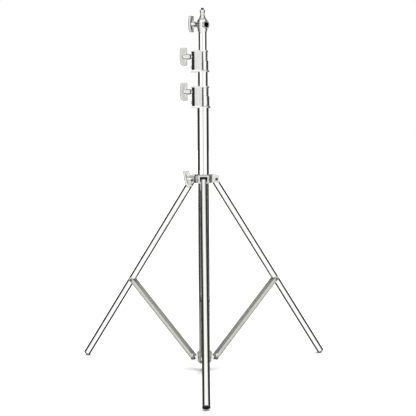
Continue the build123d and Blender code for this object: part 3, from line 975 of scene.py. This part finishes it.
# %% [markdown]
# ## The sliding collar and the lower bracket
#
# These two castings are forks and tongues round a ring. They could be drawn again. Their CAD shape is right,
# so a merged copy of it is kept, its edges are rounded as a casting's edges are, and the faces inside the
# forks take a near-black finish, painted shade.

# %% Rounded copies
FORK_HALF = 11.5
FORK_ROOT = 26.3
FORK_LOW, FORK_HIGH = 580.0, 609.6


def inside_a_fork(mesh):
    """True for each face that looks into a fork: between its cheeks, outside its root and under its web."""
    centres = np.empty(len(mesh.polygons) * 3, np.float32)
    mesh.polygons.foreach_get("center", centres)
    centres = centres.reshape(-1, 3) / MM
    inside = np.zeros(len(centres), bool)
    for azimuth in LEG_AZIMUTHS:
        turned = placed(centres, about_z(-azimuth))
        between = (np.abs(turned[:, 1]) < FORK_HALF + 0.1) & (turned[:, 0] > FORK_ROOT - 0.1)
        inside |= between & (turned[:, 2] > FORK_LOW) & (turned[:, 2] < FORK_HIGH)
    return inside


def rounded_copy(node, body, width):
    """A copy of a CAD node with its loose triangles merged, its flat faces joined and its edges bevelled."""
    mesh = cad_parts[node].data.copy()
    work = bmesh.new()
    work.from_mesh(mesh)
    bmesh.ops.remove_doubles(work, verts=work.verts, dist=2e-6)
    bmesh.ops.dissolve_limit(work, angle_limit=math.radians(1.0), verts=work.verts, edges=work.edges)
    work.to_mesh(mesh)
    work.free()
    mesh.shade_smooth()
    mesh.set_sharp_from_angle(angle=math.radians(35))
    mesh.materials.append(painted_recess_shade)
    # Faces inside the forks take the near-black finish: painted shade.
    mesh.polygons.foreach_set("material_index", inside_a_fork(mesh).astype(np.int32))
    obj = bpy.data.objects.new(node + "_casting", mesh)
    bpy.context.scene.collection.objects.link(obj)
    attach(obj, body)
    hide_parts(node)
    finish_edges(obj, width, 40)
    print(obj.name, "faces", len(mesh.polygons))
    return obj


rounded_copy("spider", "spider", 0.7)
rounded_copy("lower_bracket", "column", 0.5)

# %% [markdown]
# ## Light, floor and camera
#
# Polished tube shows the room more than itself. Lamps alone would give it thin glints on black, so the room
# itself is bright in front of the stand and dark to the sides and behind: each tube gets a bright face and a
# dark edge on both sides, as from tall softboxes. Two bright strips, low and high, light it from elsewhere.
# The camera stands three metres in front with a long lens, a little above the middle, tipped down a little.

# %% The room that the metal reflects
# Brightness of the wall by angle from the front, from 0 in front to 1 behind
WALL_STOPS = [
    (0.0, 0.70),
    (0.055, 0.72),
    (0.085, 1.2),
    (0.39, 1.2),
    (0.415, 0.04),
    (0.90, 0.03),
    (0.93, 0.9),
    (1.0, 1.0),
]
# Strength of the strips by height, from 0 straight down to 1 straight up
STRIP_STOPS = [
    (0.0, 0),
    (0.27, 0),
    (0.30, 0.6),
    (0.39, 0.6),
    (0.42, 0),
    (0.81, 0),
    (0.87, 0.6),
    (1.0, 0.6),
]


def grey_ramp(tree, place, stops):
    """A ramp through (place, brightness) stops."""
    ramp = add(tree, "ShaderNodeValToRGB", [(0, place)])
    elements = ramp.color_ramp.elements
    for where, _ in stops[2:]:
        elements.new(where)
    for element, (where, grey) in zip(elements, stops):
        element.position = where
        element.color = (grey, grey, grey * 0.985, 1)
    return ramp.outputs[0]


def studio_room():
    """A room whose wall follows the angle from the front, with two bright strips all the way round it.

    The angle is acos(-y) of a direction, and the wall is dark from 75 to 162 degrees. The height is
    (z + 1) / 2. The strips, from 9 to 27 degrees below the horizon and from 38 degrees above it upwards,
    brighten the metal where it is seen from the back or from above. The camera itself sees plain white.
    """
    world = bpy.data.worlds.new("studio")
    bpy.context.scene.world = world
    world.use_nodes = True
    tree = world.node_tree
    background = tree.nodes["Background"]
    direction = add(tree, "ShaderNodeTexCoord").outputs["Generated"]
    axes = add(tree, "ShaderNodeSeparateXYZ", [(0, direction)])
    towards_front = math_node(tree, "MULTIPLY", axes.outputs[1], -1.0)
    angle = math_node(tree, "DIVIDE", math_node(tree, "ARCCOSINE", towards_front), math.pi)
    wall = grey_ramp(tree, angle, WALL_STOPS)
    height = math_node(tree, "MULTIPLY_ADD", axes.outputs[2], 0.5, 0.5)
    strips = grey_ramp(tree, height, STRIP_STOPS)
    room = blend_colours(tree, strips, wall, (0.9, 0.9, 0.89))
    seen = add(tree, "ShaderNodeLightPath").outputs["Is Camera Ray"]
    tree.links.new(blend_colours(tree, seen, room, (1.0, 1.0, 1.0)), background.inputs["Color"])
    print("room", world.name, "nodes", len(tree.nodes))


studio_room()

# %% Softbox above, and the floor
softbox = bpy.data.lights.new("softbox", "SUN")
softbox.energy = 3.7
softbox.angle = math.radians(70)
softbox_obj = bpy.data.objects.new("softbox", softbox)
softbox_obj.rotation_euler = (math.radians(-12), math.radians(8), 0)
softbox_obj.visible_glossy = False
bpy.context.scene.collection.objects.link(softbox_obj)

FLOOR_HALF = 40
floor_corners = [(x * FLOOR_HALF, y * FLOOR_HALF, 0) for x, y in ((-1, -1), (1, -1), (1, 1), (-1, 1))]
floor_mesh = bpy.data.meshes.new("floor")
floor_mesh.from_pydata(floor_corners, [], [(0, 1, 2, 3)])
floor_finish, floor_tree, floor_shader = new_finish("floor_paper", 0.0, 0.9)
paper = use(floor_tree, haze, Patches_per_metre=3.0, Low=0.85, High=0.95)
floor_tree.links.new(
    blend_colours(floor_tree, paper.outputs["Mask"], (0.93, 0.93, 0.93), (0.91, 0.91, 0.91)),
    floor_shader.inputs["Base Color"],
)
floor_shader.inputs["Specular IOR Level"].default_value = 0.2
floor_mesh.materials.append(floor_finish)
floor = bpy.data.objects.new("floor", floor_mesh)
bpy.context.scene.collection.objects.link(floor)
floor.visible_glossy = False
print("floor", 2 * FLOOR_HALF, "m wide, lamp", softbox.energy)

# %% Camera
CAMERA_PLACE = (-0.0264, -3.029, 0.742)
CAMERA_TIP = math.radians(90 - 4.37)
CAMERA_YAW = math.radians(-0.756)
CAMERA_ROLL = math.radians(-0.35)
SENSOR_WIDTH = 36.0
LENS = 84.548077
camera_data = bpy.data.cameras.new("camera")
camera_data.sensor_width = SENSOR_WIDTH
camera_data.lens = LENS
camera = bpy.data.objects.new("camera", camera_data)
camera.matrix_world = (
    Matrix.Translation(CAMERA_PLACE)
    @ Matrix.Rotation(CAMERA_YAW, 4, "Z")
    @ Matrix.Rotation(CAMERA_TIP, 4, "X")
    @ Matrix.Rotation(CAMERA_ROLL, 4, "Z")
)
bpy.context.scene.collection.objects.link(camera)
bpy.context.scene.camera = camera
bpy.context.scene.view_settings.view_transform = "Standard"
print("camera at", CAMERA_PLACE, "lens", LENS)

bpy.context.view_layer.update()
